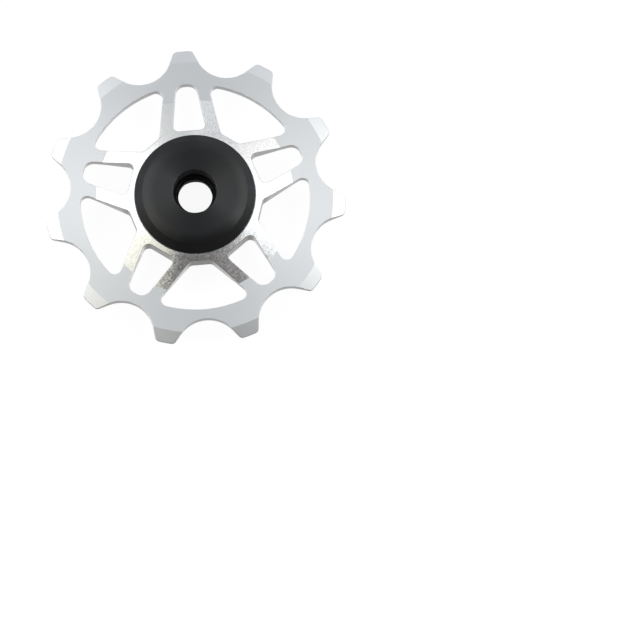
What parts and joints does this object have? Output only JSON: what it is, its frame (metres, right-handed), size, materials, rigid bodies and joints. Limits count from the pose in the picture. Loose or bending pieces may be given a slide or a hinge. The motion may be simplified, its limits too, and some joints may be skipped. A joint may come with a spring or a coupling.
{
  "type": "derailleur jockey wheel",
  "caption": "Toothed aluminium guide pulley for a bicycle derailleur, with spoked web and bevelled black caps, turning on a sealed ball bearing around an axle bolt.",
  "frame": {"origin": "middle of the axle bore, on the wheel's middle plane", "axes": "+Z along the axle, out of the front cap and upwards when the wheel lies flat; +Y towards the tooth that stands in line with a narrow window; +X completes the right-handed frame"},
  "size_m": [0.0448, 0.0444, 0.0084],
  "materials": {
    "silver_alloy": "satin silver anodised, with turning marks on the web",
    "black_alloy": "black anodised, semi-gloss",
    "bearing_steel": "ground and polished",
    "ball_ceramic": "polished dark ceramic, not see-through",
    "cage_plastic": "moulded nylon",
    "seal_rubber": "matt black"
  },
  "bodies": {
    "core": {"front_cap": "black_alloy", "rear_cap": "black_alloy", "bearing_inner_ring": "bearing_steel"},
    "wheel": {"toothed_wheel": "silver_alloy", "bearing_outer_ring": "bearing_steel", "front_seal": "seal_rubber", "rear_seal": "seal_rubber"},
    "cage": {"ball_cage": "cage_plastic"},
    "ball_1_body": {"ball_1": "ball_ceramic"},
    "ball_2_body": {"ball_2": "ball_ceramic"},
    "ball_3_body": {"ball_3": "ball_ceramic"},
    "ball_4_body": {"ball_4": "ball_ceramic"},
    "ball_5_body": {"ball_5": "ball_ceramic"},
    "ball_6_body": {"ball_6": "ball_ceramic"},
    "ball_7_body": {"ball_7": "ball_ceramic"},
    "ball_8_body": {"ball_8": "ball_ceramic"},
    "ball_9_body": {"ball_9": "ball_ceramic"}
  },
  "joints": [
    {"name": "wheel_spin", "type": "hinge", "parent": "core", "child": "wheel", "pos_m": [0, 0, 0], "axis": [0, 0, 1], "continuous": true},
    {"name": "cage_spin", "type": "hinge", "parent": "core", "child": "cage", "pos_m": [0, 0, 0], "axis": [0, 0, 1], "continuous": true},
    {"name": "ball_1_spin", "type": "hinge", "parent": "cage", "child": "ball_1_body", "pos_m": [0, 0.006, 0], "axis": [0, 0, 1], "continuous": true},
    {"name": "ball_2_spin", "type": "hinge", "parent": "cage", "child": "ball_2_body", "pos_m": [-0.00386, 0.0046, 0], "axis": [0, 0, 1], "continuous": true},
    {"name": "ball_3_spin", "type": "hinge", "parent": "cage", "child": "ball_3_body", "pos_m": [-0.00591, 0.00104, 0], "axis": [0, 0, 1], "continuous": true},
    {"name": "ball_4_spin", "type": "hinge", "parent": "cage", "child": "ball_4_body", "pos_m": [-0.0052, -0.003, 0], "axis": [0, 0, 1], "continuous": true},
    {"name": "ball_5_spin", "type": "hinge", "parent": "cage", "child": "ball_5_body", "pos_m": [-0.00205, -0.00564, 0], "axis": [0, 0, 1], "continuous": true},
    {"name": "ball_6_spin", "type": "hinge", "parent": "cage", "child": "ball_6_body", "pos_m": [0.00205, -0.00564, 0], "axis": [0, 0, 1], "continuous": true},
    {"name": "ball_7_spin", "type": "hinge", "parent": "cage", "child": "ball_7_body", "pos_m": [0.0052, -0.003, 0], "axis": [0, 0, 1], "continuous": true},
    {"name": "ball_8_spin", "type": "hinge", "parent": "cage", "child": "ball_8_body", "pos_m": [0.00591, 0.00104, 0], "axis": [0, 0, 1], "continuous": true},
    {"name": "ball_9_spin", "type": "hinge", "parent": "cage", "child": "ball_9_body", "pos_m": [0.00386, 0.0046, 0], "axis": [0, 0, 1], "continuous": true}
  ],
  "couplings": [
    {"joint": "cage_spin", "follows": "wheel_spin", "ratio": 0.59921},
    {"joint": "ball_1_spin", "follows": "wheel_spin", "ratio": 2.4207},
    {"joint": "ball_2_spin", "follows": "wheel_spin", "ratio": 2.4207},
    {"joint": "ball_3_spin", "follows": "wheel_spin", "ratio": 2.4207},
    {"joint": "ball_4_spin", "follows": "wheel_spin", "ratio": 2.4207},
    {"joint": "ball_5_spin", "follows": "wheel_spin", "ratio": 2.4207},
    {"joint": "ball_6_spin", "follows": "wheel_spin", "ratio": 2.4207},
    {"joint": "ball_7_spin", "follows": "wheel_spin", "ratio": 2.4207},
    {"joint": "ball_8_spin", "follows": "wheel_spin", "ratio": 2.4207},
    {"joint": "ball_9_spin", "follows": "wheel_spin", "ratio": 2.4207}
  ]
}
